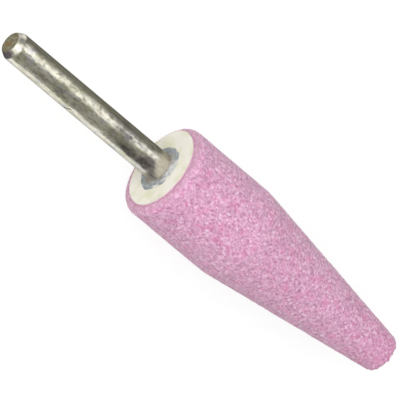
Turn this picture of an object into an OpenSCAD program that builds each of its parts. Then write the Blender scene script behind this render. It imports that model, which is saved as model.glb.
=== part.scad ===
// Mounted point: an abrasive head with a straight barrel and a long tapered nose, cemented onto a steel shank.
// A thin paper ring is stuck on the head's back face. All lengths are in millimetres.
// Each section is drawn as radius (X) against length along the tool's axis (Y): Y = 0 is the head's back face,
// the nose is at positive Y and the shank at negative Y. The finished tool lies on its barrel, nose towards +X.

/* [Head] */
// Diameter of the straight barrel
head_d = 20; // [16:0.5:30]
// Length from the back face to the end of the nose
head_len = 65; // [50:1:90]
// Length of the straight barrel, from the back face to the knee where the taper starts
barrel_len = 21.6; // [6:0.2:40]
// Diameter that the taper reaches at the end of the nose, before the nose is rounded
nose_d = 8.2; // [6:0.1:14]
// Radius of the rounded edge of the nose
nose_r = 1.3; // [0.4:0.1:3.2]
// Radius of the rounded rim round the back face
rim_r = 1.4; // [0.4:0.1:3]

/* [Shank] */
// Diameter of the shank
shank_d = 6; // [3:0.5:8]
// Length of shank that stands out of the head's back face
shank_out = 42.7; // [25:0.1:100]
// Length of the bevel on the shank's free end
end_bevel_len = 1.4; // [0.2:0.1:3]
// Depth of that bevel, measured on the radius
end_bevel_depth = 0.75; // [0.1:0.05:1.2]

/* [Tang inside the head] */
// Length of the tang below the back face
tang_len = 24; // [14:0.5:34]
// How far the tang is turned down below the shank, measured on the radius
tang_step = 0.2; // [0.1:0.05:0.5]
// Bevel on the tang's inner end
tang_bevel = 0.5; // [0.1:0.05:0.8]
// Width of each grip groove
groove_w = 1.2; // [0.4:0.1:2]
// Depth of each grip groove
groove_depth = 0.4; // [0.1:0.05:0.7]
// Distance from one grip groove to the next
groove_pitch = 3; // [2.2:0.1:6]

/* [Cement] */
// Thickness of the cement round the tang, counted from the shank's own diameter
cement_wall = 0.9; // [0.4:0.1:2]
// Thickness of the cement under the tang's end
cement_floor = 1; // [0.4:0.1:3]
// Bevel at the mouth of the head's bore
mouth_bevel = 0.5; // [0.1:0.1:1.2]
// How far the cement collar laps onto the back face round the bore
collar_lap = 0.4; // [0.1:0.05:0.8]
// Height to which the cement collar climbs the shank
collar_h = 0.8; // [0.4:0.1:2.5]
// Thickness of the cement collar at its outer edge
collar_edge = 0.15; // [0.05:0.05:0.3]

/* [Paper ring] */
// Thickness of the paper
paper_t = 0.25; // [0.1:0.05:0.6]
// Width of back face left bare between the paper and the rounded rim
paper_inset = 0.3; // [0.1:0.1:2]
// Gap between the paper's hole and the cement collar
paper_gap = 0.1; // [0.05:0.05:0.5]

/* [Hidden] */
$fn = 96;

// Radii that follow from the sizes above
head_r = head_d / 2;
shank_r = shank_d / 2;
tang_r = shank_r - tang_step;
bore_r = shank_r + cement_wall;
mouth_r = bore_r + mouth_bevel;
collar_r = mouth_r + collar_lap;
paper_hole_r = collar_r + paper_gap;
paper_r = head_r - rim_r - paper_inset;
bore_depth = tang_len + cement_floor;

// Taper of the nose, and the centre of the arc that rounds its edge
taper = atan((head_r - nose_d / 2) / (head_len - barrel_len));
nose_y = head_len - nose_r;
nose_x = head_r - (nose_y - barrel_len) * tan(taper) - nose_r / cos(taper);

// Grip grooves that fit on the tang, clear of its bevelled end
groove_count = floor((tang_len - tang_bevel) / groove_pitch);

// Wall of the bore, from its mouth to its floor
bore_wall = [[mouth_r, 0], [bore_r, mouth_bevel], [bore_r, bore_depth]];

// Hollow curve of the cement collar, from the shank down to the collar's thin outer edge
collar_steps = 8;
collar_curve = [
    for (i = [0 : collar_steps])
        let (climb = 1 - i / collar_steps)
            [
                collar_r - (collar_r - shank_r) * climb,
                -collar_edge - (collar_h - collar_edge) * climb * climb
            ]
];

// The middle of the tool's whole length sits over the origin
back_x = (shank_out - head_len) / 2;

// Lays a shape that stands along Z down on the barrel, with Z turned to X
module laid_down() {
    translate([back_x, 0, head_r])
        rotate([0, 90, 0])
            children();
}

// Outside of the head: the straight-sided outline with round arcs let in at the rim and the nose
module head_outline() {
    polygon([
        [0, 0],
        [head_r - rim_r, 0],
        [head_r, rim_r],
        [head_r, barrel_len],
        [nose_x + nose_r * cos(taper), nose_y + nose_r * sin(taper)],
        [nose_x, head_len],
        [0, head_len]
    ]);
    translate([head_r - rim_r, rim_r])
        circle(r = rim_r);
    intersection() {
        translate([nose_x, nose_y])
            circle(r = nose_r);
        square([head_r, head_len]);
    }
}

// Blind bore in the head, bevelled at its mouth
module bore_outline() {
    polygon([[0, 0], each bore_wall, [0, bore_depth]]);
}

// Shank and tang: bevelled free end, straight grip length, then the grooved tang
module shank_outline() {
    polygon([
        [0, -shank_out],
        [shank_r - end_bevel_depth, -shank_out],
        [shank_r, end_bevel_len - shank_out],
        [shank_r, -collar_h],
        [tang_r, -collar_h],
        for (i = [1 : groove_count])
            let (middle = groove_pitch * (i - 0.5))
                each [
                    [tang_r, middle - groove_w / 2],
                    [tang_r - groove_depth, middle],
                    [tang_r, middle + groove_w / 2]
                ],
        [tang_r, tang_len - tang_bevel],
        [tang_r - tang_bevel, tang_len],
        [0, tang_len]
    ]);
}

// Cement before the shank is taken out of it: it fills the bore and stands round the shank as a collar
module cement_outline() {
    polygon([[0, -collar_h], each collar_curve, [collar_r, 0], each bore_wall, [0, bore_depth]]);
}

module abrasive_head() {
    color("#d8a6c0")
        laid_down()
            rotate_extrude()
                difference() {
                    head_outline();
                    bore_outline();
                }
}

module shank() {
    color("#a8a294")
        laid_down()
            rotate_extrude()
                shank_outline();
}

module cement() {
    color("#98a2a8")
        laid_down()
            rotate_extrude()
                difference() {
                    cement_outline();
                    shank_outline();
                }
}

module paper_ring() {
    color("#ece8d8")
        laid_down()
            translate([0, 0, -paper_t])
                linear_extrude(paper_t)
                    difference() {
                        circle(r = paper_r);
                        circle(r = paper_hole_r);
                    }
}

abrasive_head();
shank();
cement();
paper_ring();
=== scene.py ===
"""Looks of a mounted grinding point, built round its solids.

A grained head, a plated shank, a cement collar and a bare paper ring lie on a plain studio floor.
"""
import math
from collections import namedtuple
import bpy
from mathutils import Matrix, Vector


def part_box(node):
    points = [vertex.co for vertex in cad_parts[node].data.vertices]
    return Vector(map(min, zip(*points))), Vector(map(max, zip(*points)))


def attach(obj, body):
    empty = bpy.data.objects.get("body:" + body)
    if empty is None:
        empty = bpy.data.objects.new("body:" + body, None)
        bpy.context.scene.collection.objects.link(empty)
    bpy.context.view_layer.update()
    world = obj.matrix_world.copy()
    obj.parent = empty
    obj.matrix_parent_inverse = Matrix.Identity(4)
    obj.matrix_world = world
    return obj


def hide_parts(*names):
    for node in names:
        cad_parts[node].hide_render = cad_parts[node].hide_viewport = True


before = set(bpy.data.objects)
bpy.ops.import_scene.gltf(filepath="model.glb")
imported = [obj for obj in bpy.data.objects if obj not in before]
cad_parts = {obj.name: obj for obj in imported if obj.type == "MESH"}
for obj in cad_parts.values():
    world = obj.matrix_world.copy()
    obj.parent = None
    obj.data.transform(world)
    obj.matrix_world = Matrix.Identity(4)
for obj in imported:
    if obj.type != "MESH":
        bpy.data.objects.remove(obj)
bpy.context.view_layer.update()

from types import SimpleNamespace

import bmesh
import bpy
from bpy.props import FloatProperty, FloatVectorProperty, IntProperty, PointerProperty
from mathutils import Matrix, Vector
from mathutils.geometry import intersect_point_line

bl_info = {
    "name": "Mounted point",
    "version": (1, 0, 0),
    "blender": (4, 5, 0),
    "location": "3D View > Sidebar > Mounted point",
    "description": "Dresses the solids of a mounted grinding point and sets it on a plain studio floor",
    "category": "Object",
}

# Places and sizes that come from the solids
HEAD_LOW, HEAD_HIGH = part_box("abrasive_head")
SHANK_LOW, SHANK_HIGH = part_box("shank")
CEMENT_LOW, CEMENT_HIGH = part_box("cement")
PAPER_LOW, PAPER_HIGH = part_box("paper_ring")
BACK_X = HEAD_LOW.x
AXIS_Z = (HEAD_LOW.z + HEAD_HIGH.z) / 2
HEAD_LEN = HEAD_HIGH.x - BACK_X
HEAD_R = (HEAD_HIGH.z - HEAD_LOW.z) / 2
SHANK_OUT = BACK_X - SHANK_LOW.x
SHANK_R = (SHANK_HIGH.z - SHANK_LOW.z) / 2
TANG_LEN = SHANK_HIGH.x - BACK_X
COLLAR_H = BACK_X - CEMENT_LOW.x
COLLAR_R = (CEMENT_HIGH.z - CEMENT_LOW.z) / 2
BORE_DEPTH = CEMENT_HIGH.x - BACK_X
PAPER_T = BACK_X - PAPER_LOW.x
PAPER_R = (PAPER_HIGH.z - PAPER_LOW.z) / 2

# Small numbers that only serve the modelling
MM = 0.001
FULL_TURN = 2 * math.pi
MERGE_GAP = 1e-7
TOUCHING = 0.01 * MM
RIM_STEPS = 9
NOSE_STEPS = 12
COLLAR_STEPS = 14
EDGE_SEGMENTS = 4
GRAIN_FADE = 3
CHIP_RISE = 1.5
TURNED_EDGE = math.radians(35)
LUMPY_EDGE = math.radians(50)
PITS = "pits"

# Picture and camera
PHOTO_SIZE = 400
SENSOR = 36.0
FAR_CLIP = 100

# Dark marks on the shank, by the distance past the back face and degrees from the top towards the front;
# partly grime and partly painted shade that narrows the highlight and darkens the edges of the strip that
# mirrors the floor
DarkMark = namedtuple("DarkMark", "along angle reach drawn_out strength")
DARK_MARKS = [
    DarkMark(-9.6 * MM, 44, 2.4 * MM, 3.3, 0.75),
    DarkMark(-4.0 * MM, 46, 2.7 * MM, 1.5, 0.74),
    DarkMark(-0.9 * MM, 68, 2.3 * MM, 1.1, 0.55),
    DarkMark(-4.8 * MM, 17, 1.8 * MM, 1.7, 0.5),
    DarkMark(-12.0 * MM, -27, 2.8 * MM, 3.0, 0.56),
    DarkMark(-26.0 * MM, 36, 1.9 * MM, 5.5, 0.32),
    DarkMark(-36.0 * MM, 41, 1.8 * MM, 3.2, 0.37),
    DarkMark(-13.0 * MM, -2, 0.8 * MM, 5.5, 0.3),
    DarkMark(-5.0 * MM, -1, 1.0 * MM, 2.5, 0.33),
    DarkMark(-5.5 * MM, -31, 1.1 * MM, 2.2, 0.4),
    # Painted reflection of something dark below the front, at the free end of the strip
    DarkMark(0.4 * MM - SHANK_OUT, 76, 2.9 * MM, 0.6, 1.5),
]

# Side of the shank darkened with painted shade, standing in for the dark surroundings it mirrors; rust on
# its sawn end, and the slanting nick in its side
SHADED_ANGLE = math.radians(67)
SHADED_SIDE = Vector((0.0, math.sin(SHADED_ANGLE), math.cos(SHADED_ANGLE)))
SHADED_LEVEL = SHADED_SIDE.z * AXIS_Z
RUST_ANGLE = 103
RUST_OFF_AXIS = 0.5 * MM
NICK_ENDS = ((-25.5 * MM, 90), (-24.5 * MM, 63))
NICK_WIDTH = 0.36 * MM
NICK_MARKS = 5


def length(name, description, millimetres):
    """A property that holds a length, given in millimetres."""
    return FloatProperty(name=name, description=description, default=millimetres * MM,
                         unit="LENGTH", precision=6)


def colour(name, description, value):
    """A property that holds a colour, in linear light."""
    return FloatVectorProperty(name=name, description=description, default=value,
                               subtype="COLOR", min=0, max=1)


def angle(name, description, degrees):
    """A property that holds an angle, given in degrees."""
    return FloatProperty(name=name, description=description, default=math.radians(degrees), subtype="ANGLE")


def aim(name, description, value):
    """A property that holds a direction."""
    return FloatVectorProperty(name=name, description=description, default=value, subtype="DIRECTION")


def share(name, description, value):
    """A property that holds a plain number."""
    return FloatProperty(name=name, description=description, default=value)


class HeadSettings(bpy.types.PropertyGroup):
    """Sizes and colours of the abrasive head"""

    barrel_len: length("Barrel", "Length of the straight barrel", 21.6)
    rim_r: length("Rim radius", "Rounding of the rim round the back face", 1.4)
    nose_d: length("Nose", "Diameter of the taper at the end of the nose, before rounding", 8.2)
    nose_r: length("Nose radius", "Rounding of the edge of the nose", 0.8)
    bore_r: length("Bore radius", "Radius of the blind bore for the tang", 3.9)
    mouth_bevel: length("Mouth bevel", "Bevel at the mouth of the bore", 0.5)
    mesh_step: length("Mesh step", "Distance between rows of faces on the outside", 0.21)
    turns: IntProperty(name="Sides", description="Faces round the head", default=256)
    grain_size: length("Grain", "Size of one abrasive grain", 0.46)
    grain_relief: length("Grain relief", "Depth of the joints between grains", 0.16)
    wave_size: length("Unevenness", "Size of the broad unevenness left by moulding", 3.2)
    wave_relief: length("Uneven depth", "Depth of that unevenness", 0.12)
    chip_size: length("Chip size", "Size of the chips round the nose", 0.9)
    chip_reach: length("Chip reach", "How far back from the nose its edge is chipped", 2.2)
    chip_depth: length("Chip depth", "Depth of the chips round the nose", 0.55)
    specks: share("Specks", "Specks of colour across one grain", 2.2)
    crumbs: share("Crumbs", "Crumbs of colour across one grain", 0.85)
    patch_grains: share("Patch", "Grains across one patch of colour", 4.0)
    tone_share: share("Grain tone", "How far whole grains differ in lightness", 0.2)
    speck_share: share("Speck tone", "How far the specks differ in lightness", 0.4)
    pit_share: share("Pit tone", "How much darker the joints between grains are", 0.12)
    rose: colour("Rose", "Colour of the pinker patches", (0.835, 0.264, 0.521))
    dust: colour("Dust", "Colour of the greyer patches", (0.71, 0.388, 0.573))
    pale: colour("Pale grain", "Colour of the pale grains", (1.0, 0.573, 0.832))
    mauve: colour("Mauve", "Colour of the darkest grains and joints", (0.465, 0.16, 0.31))
    crystal: colour("Crystal", "Colour of the clear crystals that catch the light", (1.0, 0.83, 0.92))
    rubbed: colour("Rubbed", "Colour of the rubbed rim", (0.57, 0.325, 0.43))


class ShankSettings(bpy.types.PropertyGroup):
    """Sizes and colours of the steel shank"""

    end_bevel_len: length("End bevel length", "Length of the bevel on the free end", 1.4)
    end_bevel_depth: length("End bevel depth", "Depth of that bevel on the radius", 0.75)
    edge_round: length("Edge rounding", "Rounding of the bevel's two edges", 0.3)
    tang_r: length("Tang radius", "Radius of the tang inside the head", 2.8)
    tang_bevel: length("Tang bevel", "Bevel on the inner end of the tang", 0.5)
    groove_w: length("Groove width", "Width of each grip groove", 1.2)
    groove_depth: length("Groove depth", "Depth of each grip groove", 0.4)
    groove_pitch: length("Groove pitch", "Distance from one groove to the next", 3.0)
    mesh_step: length("Mesh step", "Distance between rows of faces along the shank", 0.25)
    turns: IntProperty(name="Sides", description="Faces round the shank", default=128)
    nick_depth: length("Nick", "Depth of the nick in the side of the shank", 0.14)
    steel: colour("Steel", "Colour of the plated steel", (0.96, 0.94, 0.8))
    olive: colour("Olive", "Colour of the yellowed plating", (0.58, 0.575, 0.39))
    tarnish: colour("Tarnish", "Colour of the dull streaks", (0.27, 0.26, 0.19))
    bevel_grey: colour("Bevel", "Colour of the turned bevel", (0.49, 0.48, 0.415))
    rosy: colour("Rosy", "Colour of the faintly pink patches", (0.79, 0.725, 0.66))
    film: colour("Film", "Colour of the matt film beside the cement", (0.51, 0.465, 0.365))
    fresh: colour("Fresh", "Colour of the whiter plating near the head", (0.95, 0.94, 0.9))
    slate: colour("Slate", "Colour of the faintly blue patches", (0.69, 0.69, 0.75))
    # Painted shade: this colour darkens the far side of the shank, standing in for the dark surroundings
    # that it mirrors
    shade: colour("Shade", "Colour of the tarnished far side", (0.15, 0.143, 0.1))
    speck: colour("Speck", "Colour of the small brown specks", (0.2, 0.16, 0.11))
    # Colour of the dark marks, partly grime and partly painted shade
    dark_mark_colour: colour("DarkMark", "Colour of the dark smudges", (0.12, 0.105, 0.115))
    edge_dark: colour("Edge tint", "Tint of the steel where it is seen edge on", (0.34, 0.34, 0.34))
    end_brown: colour("Sawn end", "Colour of the bare sawn end", (0.28, 0.265, 0.18))
    end_tan: colour("Tan", "Colour of the paler marks on the sawn end", (0.4, 0.36, 0.25))
    end_rust: colour("Rust", "Colour of the rust on the sawn end", (0.28, 0.2, 0.105))


class CementSettings(bpy.types.PropertyGroup):
    """Sizes and colours of the cement"""

    edge_t: length("Edge", "Thickness of the collar at its outer edge", 0.32)
    lump_size: length("Lump size", "Size of the lumps in the collar", 1.1)
    lump_relief: length("Lumps", "Height of those lumps", 0.9)
    edge_wander: length("Edge wander", "How far the squeezed-out edge strays from a true circle", 1.3)
    turns: IntProperty(name="Sides", description="Faces round the collar", default=128)
    lump_share: share("Lump tone", "How far the lumps differ in lightness", 0.8)
    crumb_share: share("Crumb tone", "How far the crumbs differ in lightness", 0.5)
    # Painted highlight: the upper side of the collar is painted paler, where light from above falls on it
    top_light_share: share("Smear", "How much paler the smear on the upper side is", 0.27)
    top_light_turn: angle("Smear turn", "Turn of that smear from the top towards the front", -10.0)
    grey: colour("Grey", "Colour of the set cement", (0.26, 0.295, 0.31))
    chalk: colour("Chalk", "Colour of the pale crumbs", (0.655, 0.67, 0.66))
    stain: colour("Stain", "Colour of the stain beside the steel", (0.25, 0.2, 0.14))


class PaperSettings(bpy.types.PropertyGroup):
    """Sizes and colours of the paper ring"""

    hole_r: length("Hole radius", "Radius of the hole in the paper, which the cement covers", 4.2)
    off_centre: length("Off centre", "How far the ring was stuck on out of true, towards the back", 0.25)
    oval: share("Oval", "Share by which the ring is longer one way and shorter the other", 0.025)
    oval_turn: angle("Oval turn", "Turn of the longer way from the top towards the front", 65.0)
    wander: length("Cut wander", "How far the cut edges stray from a true circle", 0.35)
    edge_reach: length("Cut reach", "How far in from the edges that straying is felt", 0.9)
    mesh_step: length("Mesh step", "Distance between rows of faces across the ring", 0.3)
    turns: IntProperty(name="Sides", description="Faces round the ring", default=192)
    aged_share: share("Aged share", "How far the patches have yellowed", 0.6)
    fibre_share: share("Fibre", "How much the fibre shows", 0.35)
    cream: colour("Cream", "Colour of the paper", (0.9, 0.857, 0.797))
    aged: colour("Aged", "Colour of the yellowed patches", (0.73, 0.735, 0.516))
    cut: colour("Cut edge", "Colour of the dusty cut edge", (0.85, 0.66, 0.73))


class StageSettings(bpy.types.PropertyGroup):
    """Camera, floor and lights"""

    tilt: angle("Tilt", "Angle of the tool's axis to the picture plane", 30.2)
    turn: angle("Turn", "Turn of the camera about the tool's axis, up from the floor", 82.0)
    slant: angle("Slant", "Slope of the tool's axis in the picture, below the level", 40.04)
    distance: length("Distance", "Distance from the camera to the head's back face", 1226.0)
    pixels_per_mm: share("Scale", "Pixels of the picture for each millimetre at that distance", 5.231)
    root_pixel: FloatVectorProperty(
        name="Root pixel", description="Where the centre of the back face shows",
        default=(161.27, 169.19), size=2)
    floor_size: length("Floor", "Side of the floor", 24000.0)
    floor_white: colour("Floor", "Colour of the floor", (0.62, 0.62, 0.62))
    floor_veil: share("Floor veil", "Share of that colour that the camera sees, with the shadow", 0.3)
    floor_glow: share("Floor glow", "White that the camera sees besides", 0.86)
    sky_warm: colour("Warm sky", "Tint of the dim sky", (1.0, 0.983, 0.885))
    sky_dim: share("Dim sky", "Light of the sky on the side of the nose", 0.255)
    sky_bright: share("Bright sky", "Light of the sky on the side of the shank", 0.75)
    softbox_light: share("Softbox", "Light that the overhead softbox adds to the sky", 1.05)
    softbox_aim: aim("Softbox aim", "Direction of the overhead softbox", (0.503, 0.438, 0.744))
    softbox_core: angle("Softbox core", "Half width of the softbox at full light", 6.0)
    softbox_edge: angle("Softbox edge", "Half width at which its light ends", 29.0)
    screen_aim: aim("Screen aim", "Direction of the dark screen at the back", (-0.2, 0.97, 0.1))
    screen_core: angle("Screen core", "Half width of the screen at its darkest", 18.0)
    screen_edge: angle("Screen edge", "Half width at which the screen ends", 48.0)
    screen_share: share("Screen", "Share of the sky's light that the screen takes away", 0.5)
    key_aim: aim("Key aim", "Direction of the large light near the camera", (-0.6, -0.08, 0.8))
    key_distance: length("Key distance", "Distance of that light from the tool", 1000.0)
    key_size: length("Key size", "Side of that light", 1000.0)
    key_power: FloatProperty(
        name="Key power", description="Power of that light", default=7.64, unit="POWER")


class Wire:
    """A socket of a node tree that takes part in sums: each operator adds one Math node."""

    def __init__(self, finish, socket):
        self.finish = finish
        self.socket = socket

    def math(self, operation, *others):
        return self.finish.math(operation, self, *others)

    def __add__(self, other):
        return self.math("ADD", other)

    def __radd__(self, other):
        return self.finish.math("ADD", other, self)

    def __sub__(self, other):
        return self.math("SUBTRACT", other)

    def __rsub__(self, other):
        return self.finish.math("SUBTRACT", other, self)

    def __mul__(self, other):
        return self.math("MULTIPLY", other)

    def __rmul__(self, other):
        return self.finish.math("MULTIPLY", other, self)


class Finish:
    """One node tree, of a material or of the world, and the ways its nodes are made."""

    def __init__(self, owner):
        owner.use_nodes = True
        self.owner = owner
        self.tree = owner.node_tree

    def node(self, kind, settings=None, sockets=None, output=0):
        """Adds a node: its settings first, then the values or links of its sockets. Returns one output."""
        made = self.tree.nodes.new(kind)
        for key, value in (settings or {}).items():
            setattr(made, key, value)
        for key, value in (sockets or {}).items():
            self.feed(made.inputs[key], value)
        return Wire(self, made.outputs[output])

    def feed(self, socket, value):
        """Links a wire to a socket, or sets the socket's own value."""
        if isinstance(value, Wire):
            self.tree.links.new(value.socket, socket)
        else:
            socket.default_value = value

    def math(self, operation, *values):
        return self.node("ShaderNodeMath", {"operation": operation}, dict(enumerate(values)))

    def ramp(self, value, starts, full):
        """0 up to where it starts, 1 from where it is full, smooth between; full may be the lower one."""
        settings = {"interpolation_type": "SMOOTHSTEP"}
        sockets = {"Value": value, "From Min": starts, "From Max": full}
        return self.node("ShaderNodeMapRange", settings, sockets)

    def blend(self, first, second, factor):
        """Mixes two colours."""
        sockets = {0: factor, 6: opaque(first), 7: opaque(second)}
        return self.node("ShaderNodeMix", {"data_type": "RGBA"}, sockets, output=2)

    def lay(self, under, over, pattern, starts, full, share=1.0):
        """Lays a colour over another: none where a pattern starts, and the whole share where it is full."""
        return self.blend(under, over, self.ramp(pattern, starts, full) * share)

    def noise(self, coords, scale, detail=2.0, roughness=0.5):
        sockets = {"Vector": coords, "Scale": scale, "Detail": detail, "Roughness": roughness}
        return self.node("ShaderNodeTexNoise", None, sockets)

    def drawn_noise(self, coords, along, across, detail=3.0, roughness=0.6):
        """Noise with one scale along the tool's axis and another across it."""
        return self.noise(self.stretched(coords, (along, across, across)), 1.0, detail, roughness)

    def cells(self, coords, scale, output):
        """Cells of a Voronoi pattern, which stand for grains."""
        return self.node("ShaderNodeTexVoronoi", None, {"Vector": coords, "Scale": scale}, output)

    def channel(self, colour_wire, name):
        return self.node("ShaderNodeSeparateColor", None, {"Color": colour_wire}, name)

    def along_axis(self, coords):
        """Place along the tool's axis."""
        return self.node("ShaderNodeSeparateXYZ", None, {"Vector": coords}, "X")

    def stretched(self, coords, scales):
        """Coordinates scaled on each axis, so that a pattern is drawn out."""
        return self.node("ShaderNodeVectorMath", {"operation": "MULTIPLY"}, {0: coords, 1: scales})

    def number(self, operation, first, second):
        """One number worked out from two vectors."""
        return self.node("ShaderNodeVectorMath", {"operation": operation}, {0: first, 1: second}, "Value")

    def spot(self, coords, centre, reach, drawn_out=1.0):
        """1 at a point of the piece, fading to 0 at a reach that may be drawn out along the axis."""
        squeezed = self.stretched(coords, (1 / drawn_out, 1, 1))
        middle = Vector((centre.x / drawn_out, centre.y, centre.z))
        return self.ramp(self.number("DISTANCE", squeezed, middle), starts=reach, full=0.2 * reach)

    def bump(self, height, strength, distance):
        sockets = {"Strength": strength, "Distance": distance, "Height": height}
        return self.node("ShaderNodeBump", None, sockets)

    def dress(self, **sockets):
        """Feeds sockets of the material's own shader, by their names in small letters with underscores."""
        shader = self.tree.nodes["Principled BSDF"]
        by_name = {socket.name.replace(" ", "_").lower(): socket for socket in shader.inputs}
        for key, value in sockets.items():
            self.feed(by_name[key], value)


def opaque(value):
    """A colour with its alpha, or a wire as it is."""
    return value if isinstance(value, Wire) else (*value, 1.0)


def new_material(name):
    return Finish(bpy.data.materials.new(name))


def object_coords(finish):
    return finish.node("ShaderNodeTexCoord", output="Object")


def place(along, radius):
    """Point of the frame above the tool's axis, from the distance past the back face and the radius."""
    return Vector((BACK_X + along, 0.0, AXIS_Z + radius))


def on_side(along, angle, radius):
    """Point of the frame off the tool's axis, turned by degrees from the top towards the front."""
    turned = math.radians(angle)
    return Vector((BACK_X + along, -radius * math.sin(turned), AXIS_Z + radius * math.cos(turned)))


def polar(vertex):
    """Distance of a vertex past the back face, and its radius off the tool's axis."""
    return vertex.co.x - BACK_X, math.hypot(vertex.co.y, vertex.co.z - AXIS_Z)


def arc(centre, radius, start, end, steps):
    """Points of a round corner of an outline; angles are in degrees, 0 along the axis and 90 outwards."""
    points = []
    for i in range(steps + 1):
        angle = math.radians(start + (end - start) * i / steps)
        points.append((centre[0] + radius * math.cos(angle), centre[1] + radius * math.sin(angle)))
    return points


def stepped(outline, step):
    """The same outline with points let in, so that none lie further apart than the step."""
    points = [outline[0]]
    for last in outline[1:]:
        first = points[-1]
        count = max(1, math.ceil(math.dist(first, last) / step))
        for i in range(1, count + 1):
            along = first[0] + (last[0] - first[0]) * i / count
            radius = first[1] + (last[1] - first[1]) * i / count
            points.append((along, radius))
    return points


def spun_piece(name, outline, turns):
    """Draws an outline vertex by vertex and spins it round the tool's axis into a closed mesh."""
    bpy.ops.object.select_all(action="DESELECT")
    bpy.ops.mesh.primitive_plane_add(size=MM)
    piece = bpy.context.object
    piece.name = name
    piece.data.name = name
    bpy.ops.object.mode_set(mode="EDIT")
    bpy.ops.mesh.select_mode(type="VERT")
    bpy.ops.mesh.merge(type="CENTER")
    points = [place(*pair) for pair in outline]
    bpy.ops.transform.translate(value=points[0])
    for first, last in zip(points, points[1:]):
        bpy.ops.mesh.extrude_region_move(TRANSFORM_OT_translate={"value": last - first})
    bpy.ops.mesh.select_all(action="SELECT")
    bpy.ops.mesh.spin(steps=turns, angle=FULL_TURN, center=(0, 0, AXIS_Z), axis=(1, 0, 0))
    bpy.ops.mesh.select_all(action="SELECT")
    bpy.ops.mesh.remove_doubles(threshold=MERGE_GAP)
    bpy.ops.mesh.normals_make_consistent(inside=False)
    bpy.ops.object.mode_set(mode="OBJECT")
    return piece


def weigh(piece, name, weight):
    """Makes a vertex group, with a weight worked out for each vertex from its place."""
    group = piece.vertex_groups.new(name=name)
    for vertex in piece.data.vertices:
        value = weight(vertex)
        if value > 0:
            group.add([vertex.index], min(value, 1.0), "REPLACE")
    return group.name


def displace(piece, group, strength, texture=None, direction="NORMAL", mid_level=0.0):
    """Pushes a group of vertices by a texture and applies the push."""
    bpy.ops.object.modifier_add(type="DISPLACE")
    push = piece.modifiers[-1]
    push.texture = texture
    push.texture_coords = "LOCAL"
    push.direction = direction
    push.strength = strength
    push.mid_level = mid_level
    push.vertex_group = group
    bpy.ops.object.modifier_apply(modifier=push.name)


def cloud_texture(name, size, depth=1):
    texture = bpy.data.textures.new(name, type="CLOUDS")
    texture.noise_scale = size
    texture.noise_depth = depth
    return texture


def cell_texture(name, size):
    texture = bpy.data.textures.new(name, type="VORONOI")
    texture.noise_scale = size
    return texture


def settle(piece, node, finish):
    """Puts the finish on a piece, lets it ride on the only body and stand for its solid."""
    piece.data.materials.clear()
    piece.data.materials.append(finish.owner)
    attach(piece, "root")
    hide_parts(node)


def bore_outline(look):
    """Half section of the head's blind bore, from the middle of its floor to its bevelled mouth."""
    return [
        (BORE_DEPTH, 0.0),
        (BORE_DEPTH, look.bore_r),
        (look.mouth_bevel, look.bore_r),
        (0.0, look.bore_r + look.mouth_bevel),
    ]


def head_outline(look):
    """Half section of the head, from the floor of its bore round the outside to the tip of its nose."""
    taper = math.atan2(HEAD_R - look.nose_d / 2, HEAD_LEN - look.barrel_len)
    nose_along = HEAD_LEN - look.nose_r
    nose_radius = HEAD_R - (nose_along - look.barrel_len) * math.tan(taper) - look.nose_r / math.cos(taper)
    rim = arc((look.rim_r, HEAD_R - look.rim_r), look.rim_r, 180, 90, RIM_STEPS)
    nose = arc((nose_along, nose_radius), look.nose_r, 90 - math.degrees(taper), 0, NOSE_STEPS)
    outside = stepped([*rim, (look.barrel_len, HEAD_R), *nose, (HEAD_LEN, 0.0)], look.mesh_step)
    return bore_outline(look) + outside


def grain_weight(vertex):
    """1 where the grain is bare, fading to 0 under the paper and in the bore."""
    along, radius = polar(vertex)
    if along > BORE_DEPTH + MM:
        return 1.0
    return (radius - PAPER_R) / (HEAD_R - PAPER_R) * GRAIN_FADE


def store_pits(piece, before, deepest):
    """Keeps how far each vertex was pushed in, as a share of the deepest push."""
    pits = piece.data.attributes.new(PITS, "FLOAT", "POINT")
    for vertex, (old_place, old_normal) in zip(piece.data.vertices, before):
        pits.data[vertex.index].value = (old_place - vertex.co).dot(old_normal) / deepest


def chip_weight(look):
    """Weights that rise from 0 behind the nose to 1 round its end."""
    def weight(vertex):
        along, _ = polar(vertex)
        return (along - HEAD_LEN + look.chip_reach) / look.chip_reach * CHIP_RISE
    return weight


def grain_colour(finish, look, coords, lightness):
    """Mauve to pale grains in pinker and greyer patches, a rubbed rim, a painted shadow beside the paper,
    and crystals away from the back.
    """
    along = finish.along_axis(coords)
    patch = finish.noise(coords, 1 / (look.patch_grains * look.grain_size))
    body = finish.lay(look.mauve, look.pale, lightness, starts=0.1, full=0.7)
    body = finish.lay(body, look.dust, patch, starts=0.5, full=0.7, share=0.5)
    body = finish.lay(body, look.rose, patch, starts=0.5, full=0.3, share=0.5)
    body = finish.lay(body, look.rose, along, starts=HEAD_HIGH.x - 12 * MM, full=HEAD_HIGH.x, share=0.3)
    rim_start = BACK_X + 0.8 * look.rim_r
    body = finish.lay(body, look.rubbed, along, starts=rim_start, full=BACK_X + 0.1 * look.rim_r, share=0.6)
    # Painted shadow: a thin mauve ring on the head right beside the paper's edge, where the paper's foot
    # shades it
    paper_foot_shade_start = BACK_X + 0.1 * MM
    body = finish.lay(body, look.mauve, along, starts=paper_foot_shade_start, full=BACK_X + 0.03 * MM, share=0.36)
    open_grain = 0.35 + finish.ramp(along, starts=BACK_X + 2 * MM, full=BACK_X + 10 * MM) * 0.45
    return finish.lay(body, look.crystal, lightness, starts=0.56, full=0.73, share=open_grain)


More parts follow.
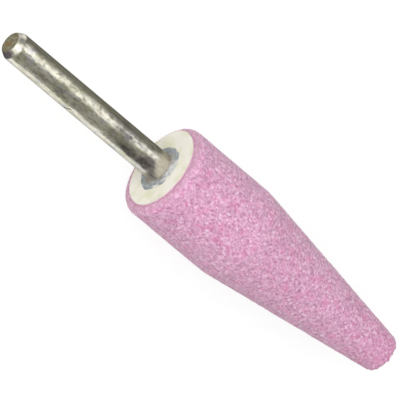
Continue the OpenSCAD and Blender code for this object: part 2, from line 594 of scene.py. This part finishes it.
def grain_finish(look):
    """Pink bonded grain with dark joints, specks and a few glints."""
    finish = new_material("pink_bonded_grain")
    coords = object_coords(finish)
    grain = finish.cells(coords, 1 / look.grain_size, "Color")
    speck = finish.noise(coords, look.specks / look.grain_size, detail=3.0, roughness=0.6)
    crumb = finish.noise(coords, look.crumbs / look.grain_size, roughness=0.6)
    pits = finish.node("ShaderNodeAttribute", {"attribute_name": PITS}, None, "Fac")
    tone = (finish.channel(grain, "Red") - 0.5) * look.tone_share + (speck - 0.5) * look.speck_share
    body = grain_colour(finish, look, coords, crumb + tone - pits * look.pit_share)
    glint = finish.ramp(finish.channel(grain, "Green"), starts=0.93, full=0.97)
    joints = finish.cells(coords, 2 / look.grain_size, "Distance")
    bump = finish.bump(speck - joints, strength=0.8, distance=0.14 * MM)
    finish.dress(base_color=body, roughness=0.85 - glint * 0.45, normal=bump, sheen_weight=0.35,
                 sheen_roughness=0.4)
    return finish


class MPOINT_OT_head(bpy.types.Operator):
    """Model the grained abrasive head over its solid"""

    bl_idname = "mpoint.head"
    bl_label = "Abrasive head"

    def execute(self, context):
        look = context.scene.mpoint_head
        head = spun_piece("grained_head", head_outline(look), look.turns)
        bare = weigh(head, "bare_grain", grain_weight)
        before = [(vertex.co.copy(), vertex.normal.copy()) for vertex in head.data.vertices]
        joints = cell_texture("grain_joints", look.grain_size)
        displace(head, bare, -look.grain_relief, joints, mid_level=0.25)
        store_pits(head, before, look.grain_relief)
        waves = cloud_texture("moulded_unevenness", look.wave_size, depth=2)
        displace(head, bare, -look.wave_relief, waves, mid_level=0.4)
        chipped = weigh(head, "chipped_nose", chip_weight(look))
        chips = cloud_texture("nose_chips", look.chip_size, depth=2)
        displace(head, chipped, -look.chip_depth, chips, mid_level=0.4)
        bpy.ops.object.shade_smooth()
        settle(head, "abrasive_head", grain_finish(look))
        return {"FINISHED"}


def tang_outline(look):
    """Half section of the tang, from the collar's top to its inner end on the axis."""
    count = math.floor((TANG_LEN - look.tang_bevel) / look.groove_pitch)
    points = [(-COLLAR_H, look.tang_r)]
    for i in range(count):
        middle = look.groove_pitch * (i + 0.5)
        points.append((middle - look.groove_w / 2, look.tang_r))
        points.append((middle, look.tang_r - look.groove_depth))
        points.append((middle + look.groove_w / 2, look.tang_r))
    points.append((TANG_LEN - look.tang_bevel, look.tang_r))
    points.append((TANG_LEN, look.tang_r - look.tang_bevel))
    points.append((TANG_LEN, 0.0))
    return points


def bevel_rings(look):
    """Both edges of the bevel on the free end."""
    start = (-SHANK_OUT, SHANK_R - look.end_bevel_depth)
    end = (look.end_bevel_len - SHANK_OUT, SHANK_R)
    return start, end


def shank_outline(look):
    """Half section of the shank, with wide steps beside the bevel's edges, which are rounded later."""
    bevel_start, bevel_end = bevel_rings(look)
    tip_end = (bevel_end[0] + 1.4 * look.edge_round, SHANK_R)
    tip = stepped([(-SHANK_OUT, 0.0), bevel_start, bevel_end, tip_end], 1.5 * look.edge_round)
    grip = stepped([tip_end, (-COLLAR_H, SHANK_R)], look.mesh_step)
    return tip + grip[1:] + tang_outline(look)


def round_rings(piece, rings, offset):
    """Bevels the edges of a spun piece that lie on the given rings of an outline."""
    bpy.ops.object.mode_set(mode="EDIT")
    bpy.ops.mesh.select_mode(type="EDGE")
    bpy.ops.mesh.select_all(action="DESELECT")
    mesh = bmesh.from_edit_mesh(piece.data)
    for edge in mesh.edges:
        ends = [polar(vertex) for vertex in edge.verts]
        edge.select = any(all(math.dist(end, ring) < TOUCHING for end in ends) for ring in rings)
    mesh.select_flush_mode()
    bmesh.update_edit_mesh(piece.data)
    bpy.ops.mesh.bevel(offset=offset, segments=EDGE_SEGMENTS, affect="EDGES")
    bpy.ops.object.mode_set(mode="OBJECT")


def nick_line():
    """Both ends of the slanting nick in the side of the shank."""
    return [on_side(*end, SHANK_R) for end in NICK_ENDS]


def steel_marks(finish, look, coords):
    """Patterns and places that the parts of the steel's finish share."""
    marks = SimpleNamespace()
    marks.streak = finish.drawn_noise(coords, along=70, across=2400)
    marks.fleck = finish.drawn_noise(coords, along=1000, across=1900)
    marks.blotch = finish.drawn_noise(coords, along=260, across=560)
    marks.along = finish.along_axis(coords)
    film_edge = marks.along + (marks.blotch - 0.5) * 2.0 * MM
    marks.film = finish.ramp(film_edge, starts=BACK_X - 3.9 * MM, full=BACK_X - 2.4 * MM)
    facing = finish.number("DOT_PRODUCT", coords, SHADED_SIDE)
    # Painted reflection: the side facing away from the painted shade gets less tarnish and fainter marks,
    # so the strip that mirrors the floor shows brighter
    bright = finish.ramp(facing, starts=SHADED_LEVEL - 0.45 * SHANK_R, full=SHADED_LEVEL - 0.58 * SHANK_R)
    marks.clean_side = bright * (1 - marks.film)
    # Painted shade: the far side, facing the shaded direction, is masked for the dark shade colour
    streaky = facing + marks.streak * 0.2 * MM
    painted_shade_start = SHADED_LEVEL + 0.8 * SHANK_R
    marks.dull_side = finish.ramp(streaky, starts=painted_shade_start, full=SHADED_LEVEL + 0.97 * SHANK_R)
    wear = marks.streak * 0.2 + marks.blotch * 0.3 + marks.fleck * 0.5
    marks.dull = finish.ramp(wear, starts=0.46, full=0.6) * (1 - marks.clean_side * 0.85)
    bevel_start = SHANK_LOW.x + 1.1 * look.end_bevel_len
    bevel_full = SHANK_LOW.x + 0.8 * look.end_bevel_len
    marks.bevelled = finish.ramp(marks.along, starts=bevel_start, full=bevel_full)
    marks.sawn = finish.ramp(marks.along, starts=SHANK_LOW.x + 0.1 * MM, full=SHANK_LOW.x + 0.03 * MM)
    return marks


def plating(finish, look, coords, marks):
    """Plated steel in faint patches of colour, with dull streaks thinned on the painted bright side,
    painted shade on the far side, a turned bevel painted lighter there as a painted reflection, and a film
    at the root.
    """
    cloud = finish.drawn_noise(coords, along=330, across=700, detail=2.0, roughness=0.5)
    body = finish.lay(look.steel, look.olive, marks.blotch, starts=0.45, full=0.65, share=0.7)
    body = finish.lay(body, look.rosy, cloud, starts=0.52, full=0.65, share=0.6)
    body = finish.lay(body, look.slate, cloud, starts=0.47, full=0.36, share=0.7)
    fresh_start = BACK_X - 11 * MM
    body = finish.lay(body, look.fresh, marks.along, starts=fresh_start, full=BACK_X - 3 * MM, share=0.6)
    body = finish.blend(body, look.tarnish, marks.dull * 0.55)
    body = finish.lay(body, look.speck, marks.fleck, starts=0.62, full=0.72, share=0.45)
    # Painted shade on the far side of the shank
    body = finish.blend(body, look.shade, marks.dull_side * 0.9)
    # Painted reflection: on the far side the bevel keeps the bright steel colour, where it mirrors the
    # floor
    turned = finish.blend(look.bevel_grey, look.steel, marks.dull_side)
    body = finish.blend(body, turned, marks.bevelled * 0.85)
    return finish.blend(body, look.film, marks.film * 0.75)


def dirt_and_painted_shade(finish, coords, marks):
    """Share of the dark colour on the steel: the dark marks, partly grime and partly painted shade, thinned
    where the near strip is painted brighter, and painted shade in the nick.
    """
    dark_share = 0.0
    for mark in DARK_MARKS:
        middle = on_side(mark.along, mark.angle, SHANK_R)
        dark_share = dark_share + finish.spot(coords, middle, mark.reach, mark.drawn_out) * mark.strength
    gleam_thinned = marks.clean_side * (1 - marks.bevelled) * 0.7
    dark_share = dark_share.math("MINIMUM", marks.bevelled + 0.8) * (1 - gleam_thinned)
    # Painted shade: the nick is darkened along its length, where its hollow lies in shade
    nick_start, nick_end = nick_line()
    for i in range(NICK_MARKS):
        middle = nick_start.lerp(nick_end, i / (NICK_MARKS - 1))
        dark_share = dark_share + finish.spot(coords, middle, NICK_WIDTH) * 0.9
    broken_up = dark_share * (0.3 + marks.fleck * 0.7 + marks.blotch * 0.7)
    return finish.ramp(broken_up, starts=0.1, full=1.1)


def sawn_end(finish, look, coords):
    """Bare brown steel of the sawn end: dark and pale mottling, a rusty spot and a dark worn edge."""
    mottle = finish.noise(coords, scale=1300, detail=3.0, roughness=0.65)
    body = finish.lay(look.end_brown, look.speck, mottle, starts=0.48, full=0.62, share=0.85)
    body = finish.lay(body, look.end_tan, mottle, starts=0.47, full=0.36, share=0.7)
    rust = finish.spot(coords, on_side(-SHANK_OUT, RUST_ANGLE, RUST_OFF_AXIS), reach=1.6 * MM)
    body = finish.lay(body, look.end_rust, rust * 0.8 + mottle, starts=0.8, full=1.35)
    off_axis = finish.number("DISTANCE", finish.stretched(coords, (0, 1, 1)), (0, 0, AXIS_Z))
    worn = off_axis + mottle * 0.9 * MM
    return finish.lay(body, look.speck, worn, starts=2.0 * MM, full=2.6 * MM, share=0.7)


def steel_finish(look):
    """Plated drawn steel: lengthwise streaks, flecks, painted shade on the far side, dark marks that are
    partly grime and partly painted shade, and a bare brown sawn end.
    """
    finish = new_material("plated_steel")
    coords = object_coords(finish)
    marks = steel_marks(finish, look, coords)
    plated = plating(finish, look, coords, marks)
    plated = finish.blend(plated, look.dark_mark_colour, dirt_and_painted_shade(finish, coords, marks))
    body = finish.blend(plated, sawn_end(finish, look, coords), marks.sawn)
    rough = 0.29 + marks.bevelled * 0.04 + marks.dull * 0.1 + marks.sawn * 0.2 + marks.film * 0.15
    bump = finish.bump(marks.streak * 0.5 + marks.fleck, strength=0.9, distance=0.075 * MM)
    finish.dress(base_color=body, metallic=1 - marks.film * 0.5, roughness=rough, normal=bump,
                 specular_tint=opaque(look.edge_dark))
    return finish


def nick_weight(vertex):
    """1 along the middle of the nick in the side of the shank, 0 outside it."""
    start, end = nick_line()
    _, share_along = intersect_point_line(vertex.co, start, end)
    nearest = start.lerp(end, min(max(share_along, 0.0), 1.0))
    return 1 - (vertex.co - nearest).length / NICK_WIDTH


class MPOINT_OT_shank(bpy.types.Operator):
    """Model the plated steel shank over its solid"""

    bl_idname = "mpoint.shank"
    bl_label = "Steel shank"

    def execute(self, context):
        look = context.scene.mpoint_shank
        shank = spun_piece("plated_shank", shank_outline(look), look.turns)
        round_rings(shank, bevel_rings(look), look.edge_round)
        displace(shank, weigh(shank, "nick", nick_weight), -look.nick_depth)
        bpy.ops.object.shade_smooth_by_angle(angle=TURNED_EDGE)
        settle(shank, "shank", steel_finish(look))
        return {"FINISHED"}


def cement_outline(look, bore, tang):
    """Half section of the cement: the filled bore, the collar's hollow curve, then back along the tang."""
    points = [*bore, (0.0, COLLAR_R)]
    for i in range(COLLAR_STEPS + 1):
        climb = i / COLLAR_STEPS
        height = look.edge_t + (COLLAR_H - look.edge_t) * climb ** 2
        points.append((-height, COLLAR_R - (COLLAR_R - SHANK_R) * climb))
    return points + tang


def cement_finish(look):
    """Set cement: blue-grey, with pale crumbs, a painted highlight on its upper side, and a brown stain
    beside the steel.
    """
    finish = new_material("set_cement")
    coords = object_coords(finish)
    lumps = finish.noise(coords, scale=1500, detail=4.0, roughness=0.6)
    crumbs = finish.noise(coords, scale=4200, roughness=0.6)
    # Painted highlight: the upper side of the collar is painted paler, where light from above falls on it
    painted_top_light = finish.spot(coords, on_side(0.0, math.degrees(look.top_light_turn), COLLAR_R), reach=0.9 * COLLAR_R)
    pallor = lumps * look.lump_share + crumbs * look.crumb_share + painted_top_light * look.top_light_share
    chalk_and_top_light = finish.ramp(pallor, starts=0.58, full=0.94)
    body = finish.blend(look.grey, look.chalk, chalk_and_top_light)
    along = finish.along_axis(coords)
    stain_start = BACK_X - 0.45 * COLLAR_H
    body = finish.lay(body, look.stain, along, starts=stain_start, full=BACK_X - COLLAR_H, share=0.7)
    bump = finish.bump(lumps + crumbs, strength=0.9, distance=0.2 * MM)
    finish.dress(base_color=body, roughness=0.65 - chalk_and_top_light * 0.3, normal=bump)
    return finish


def collar_weight(vertex):
    """1 in the middle of the collar's open face, 0 on the steel, at the edge and inside the head."""
    along, radius = polar(vertex)
    outward = (radius - SHANK_R) / (COLLAR_R - SHANK_R)
    return 0.0 if along > -TOUCHING else 4 * outward * (1 - outward)


def squeezed_weight(vertex):
    """0 on the steel, rising to 1 at the collar's edge, and 0 inside the head."""
    along, radius = polar(vertex)
    return 0.0 if along > TOUCHING else (radius - SHANK_R) / (COLLAR_R - SHANK_R)


class MPOINT_OT_cement(bpy.types.Operator):
    """Model the uneven cement collar and its hidden sleeve over the solid"""

    bl_idname = "mpoint.cement"
    bl_label = "Cement"

    def execute(self, context):
        look = context.scene.mpoint_cement
        bore = bore_outline(context.scene.mpoint_head)
        tang = tang_outline(context.scene.mpoint_shank)
        outline = cement_outline(look, bore, tang)
        cement = spun_piece("cement_collar", outline, look.turns)
        collar = weigh(cement, "collar", collar_weight)
        lumps = cloud_texture("cement_lumps", look.lump_size, depth=2)
        displace(cement, collar, look.lump_relief, lumps, mid_level=0.5)
        edge = weigh(cement, "squeezed_edge", squeezed_weight)
        for direction, size in (("Y", 3.4 * MM), ("Z", 4.1 * MM)):
            texture = cloud_texture("squeezed_edge", size)
            displace(cement, edge, look.edge_wander, texture, direction, mid_level=0.5)
        bpy.ops.object.shade_smooth_by_angle(angle=LUMPY_EDGE)
        settle(cement, "cement", cement_finish(look))
        return {"FINISHED"}


def paper_finish(look):
    """Uncoated cream paper with a faint fibre and yellowed patches."""
    finish = new_material("cream_paper")
    coords = object_coords(finish)
    fibre = finish.noise(coords, scale=3500, detail=4.0, roughness=0.6)
    patch = finish.noise(coords, scale=330)
    yellowed = finish.ramp(patch, starts=0.4, full=0.62) * look.aged_share + fibre * look.fibre_share
    body = finish.blend(look.cream, look.aged, yellowed)
    along = finish.along_axis(coords)
    body = finish.lay(body, look.cut, along, starts=PAPER_LOW.x + 0.01 * MM, full=PAPER_LOW.x + 0.06 * MM)
    bump = finish.bump(fibre, strength=0.15, distance=0.05 * MM)
    finish.dress(base_color=body, roughness=0.75 + fibre * 0.2, normal=bump)
    return finish


def paper_outline(look):
    """Half section of the paper ring, closed on itself."""
    section = [
        (0.0, look.hole_r),
        (-PAPER_T, look.hole_r),
        (-PAPER_T, PAPER_R),
        (0.0, PAPER_R),
        (0.0, look.hole_r),
    ]
    return stepped(section, look.mesh_step)


def cut_weight(look):
    """Weights that are 1 on both cut edges of the paper and fall to 0 between them."""
    def weight(vertex):
        _, radius = polar(vertex)
        return 1 - min(PAPER_R - radius, radius - look.hole_r) / look.edge_reach
    return weight


class MPOINT_OT_paper(bpy.types.Operator):
    """Model the thin paper ring on the back face over its solid"""

    bl_idname = "mpoint.paper"
    bl_label = "Paper ring"

    def execute(self, context):
        look = context.scene.mpoint_paper
        paper = spun_piece("bare_paper_ring", paper_outline(look), look.turns)
        bpy.ops.object.mode_set(mode="EDIT")
        bpy.ops.mesh.select_all(action="SELECT")
        bpy.ops.transform.resize(value=(1.0, 1 - look.oval, 1 + look.oval), orient_type="GLOBAL",
                                 orient_matrix=Matrix.Rotation(look.oval_turn, 3, "X"),
                                 orient_matrix_type="GLOBAL", center_override=place(0.0, 0.0))
        bpy.ops.object.mode_set(mode="OBJECT")
        edges = weigh(paper, "cut_edges", cut_weight(look))
        for direction, size in (("Y", 1.9 * MM), ("Z", 2.5 * MM)):
            texture = cloud_texture("cut_wander", size)
            displace(paper, edges, look.wander, texture, direction, mid_level=0.5)
        displace(paper, "", look.off_centre, None, "Y")
        bpy.ops.object.shade_smooth_by_angle(angle=TURNED_EDGE)
        settle(paper, "paper_ring", paper_finish(look))
        return {"FINISHED"}


def camera_axes(look):
    """Right, up and back of the camera, from the tilt and slope of the tool's axis in the picture."""
    sin_tilt, cos_tilt = math.sin(look.tilt), math.cos(look.tilt)
    sin_turn, cos_turn = math.sin(look.turn), math.cos(look.turn)
    back = Vector((-sin_tilt, -cos_tilt * cos_turn, cos_tilt * sin_turn))
    along = Vector((cos_tilt, -sin_tilt * cos_turn, sin_tilt * sin_turn))
    across = Vector((0.0, -sin_turn, -cos_turn))
    right = along * math.cos(look.slant) - across * math.sin(look.slant)
    up = -along * math.sin(look.slant) - across * math.cos(look.slant)
    return right, up, back


def add_camera(look):
    """Sets the camera so that the middle of the back face lands on its pixel of the picture."""
    right, up, back = camera_axes(look)
    metres_per_pixel = MM / look.pixels_per_mm
    aside = (look.root_pixel[0] - PHOTO_SIZE / 2) * metres_per_pixel
    above = (PHOTO_SIZE / 2 - look.root_pixel[1]) * metres_per_pixel
    root = Vector((BACK_X, 0.0, AXIS_Z))
    bpy.ops.object.camera_add(location=root + back * look.distance - right * aside - up * above)
    camera = bpy.context.object
    camera.rotation_euler = Matrix((right, up, back)).transposed().to_euler()
    camera.data.sensor_width = SENSOR
    camera.data.lens = look.pixels_per_mm * look.distance / MM * SENSOR / PHOTO_SIZE
    camera.data.clip_end = FAR_CLIP * look.distance
    bpy.context.scene.camera = camera


def add_key_light(look):
    """Adds the large square light near the camera, which faces the tool."""
    tool = Vector((0.0, 0.0, AXIS_Z))
    spot = tool + Vector(look.key_aim).normalized() * look.key_distance
    bpy.ops.object.light_add(type="AREA", location=spot)
    light = bpy.context.object
    light.name = "key_light"
    light.rotation_euler = (tool - spot).to_track_quat("-Z", "Y").to_euler()
    light.data.size = look.key_size
    light.data.energy = look.key_power


def floor_finish(look):
    """Pale floor that shows white to the camera and in reflections, and keeps the shadow on it."""
    finish = new_material("pale_floor")
    path = "ShaderNodeLightPath"
    seen = finish.node(path, None, None, "Is Camera Ray")
    for kind in ("Is Glossy Ray", "Is Transmission Ray"):
        seen = seen.math("MAXIMUM", finish.node(path, None, None, kind))
    lit = finish.node("ShaderNodeBsdfDiffuse", None, {"Color": opaque(look.floor_white)})
    veil = finish.node("ShaderNodeBsdfDiffuse", None, {"Color": opaque(look.floor_white * look.floor_veil)})
    glow = finish.node("ShaderNodeEmission", None, {"Strength": look.floor_glow})
    shown = finish.node("ShaderNodeAddShader", None, {0: veil, 1: glow})
    mixed = finish.node("ShaderNodeMixShader", None, {0: seen, 1: lit, 2: shown})
    finish.feed(finish.tree.nodes["Material Output"].inputs["Surface"], mixed)
    return finish


def light_sky(look):
    """Soft sky, dim towards the nose and bright towards the shank, with a softbox and a dark screen."""
    world = bpy.data.worlds.new("studio_sky")
    bpy.context.scene.world = world
    finish = Finish(world)
    direction = finish.node("ShaderNodeTexCoord", output="Generated")
    shank_side = finish.ramp(finish.along_axis(direction), starts=0.3, full=-0.6)
    strength = look.sky_dim + shank_side * (look.sky_bright - look.sky_dim)
    overhead = finish.number("DOT_PRODUCT", direction, look.softbox_aim)
    softbox = finish.ramp(overhead, starts=math.cos(look.softbox_edge), full=math.cos(look.softbox_core))
    behind = finish.number("DOT_PRODUCT", direction, look.screen_aim)
    screen = finish.ramp(behind, starts=math.cos(look.screen_edge), full=math.cos(look.screen_core))
    strength = strength * (1 - screen * look.screen_share)
    background = finish.tree.nodes["Background"]
    tint = finish.blend(look.sky_warm, (1.0, 1.0, 1.0), shank_side.math("MAXIMUM", softbox))
    finish.feed(background.inputs["Color"], tint)
    finish.feed(background.inputs["Strength"], strength + softbox * look.softbox_light)


class MPOINT_OT_stage(bpy.types.Operator):
    """Add the floor, the soft lights and the camera"""

    bl_idname = "mpoint.stage"
    bl_label = "Stage"

    def execute(self, context):
        look = context.scene.mpoint_stage
        bpy.ops.object.select_all(action="DESELECT")
        bpy.ops.mesh.primitive_plane_add(size=look.floor_size)
        floor = context.object
        floor.name = "floor"
        floor.data.materials.append(floor_finish(look).owner)
        light_sky(look)
        add_key_light(look)
        add_camera(look)
        context.scene.view_settings.view_transform = "Standard"
        return {"FINISHED"}


class MPOINT_PT_panel(bpy.types.Panel):
    """Lists the pieces of the mounted point"""

    bl_label = "Mounted point"
    bl_idname = "MPOINT_PT_panel"
    bl_space_type = "VIEW_3D"
    bl_region_type = "UI"
    bl_category = "Mounted point"

    def draw(self, context):
        for operator in OPERATORS:
            self.layout.operator(operator.bl_idname)


SETTINGS = {
    "mpoint_head": HeadSettings,
    "mpoint_shank": ShankSettings,
    "mpoint_cement": CementSettings,
    "mpoint_paper": PaperSettings,
    "mpoint_stage": StageSettings,
}
OPERATORS = (MPOINT_OT_head, MPOINT_OT_shank, MPOINT_OT_cement, MPOINT_OT_paper, MPOINT_OT_stage)


def register():
    for name, group in SETTINGS.items():
        bpy.utils.register_class(group)
        setattr(bpy.types.Scene, name, PointerProperty(type=group))
    for kind in (*OPERATORS, MPOINT_PT_panel):
        bpy.utils.register_class(kind)


def unregister():
    for kind in (MPOINT_PT_panel, *reversed(OPERATORS)):
        bpy.utils.unregister_class(kind)
    for name, group in reversed(SETTINGS.items()):
        delattr(bpy.types.Scene, name)
        bpy.utils.unregister_class(group)


def main():
    register()
    bpy.ops.mpoint.head()
    bpy.ops.mpoint.shank()
    bpy.ops.mpoint.cement()
    bpy.ops.mpoint.paper()
    bpy.ops.mpoint.stage()


if __name__ == "__main__":
    main()
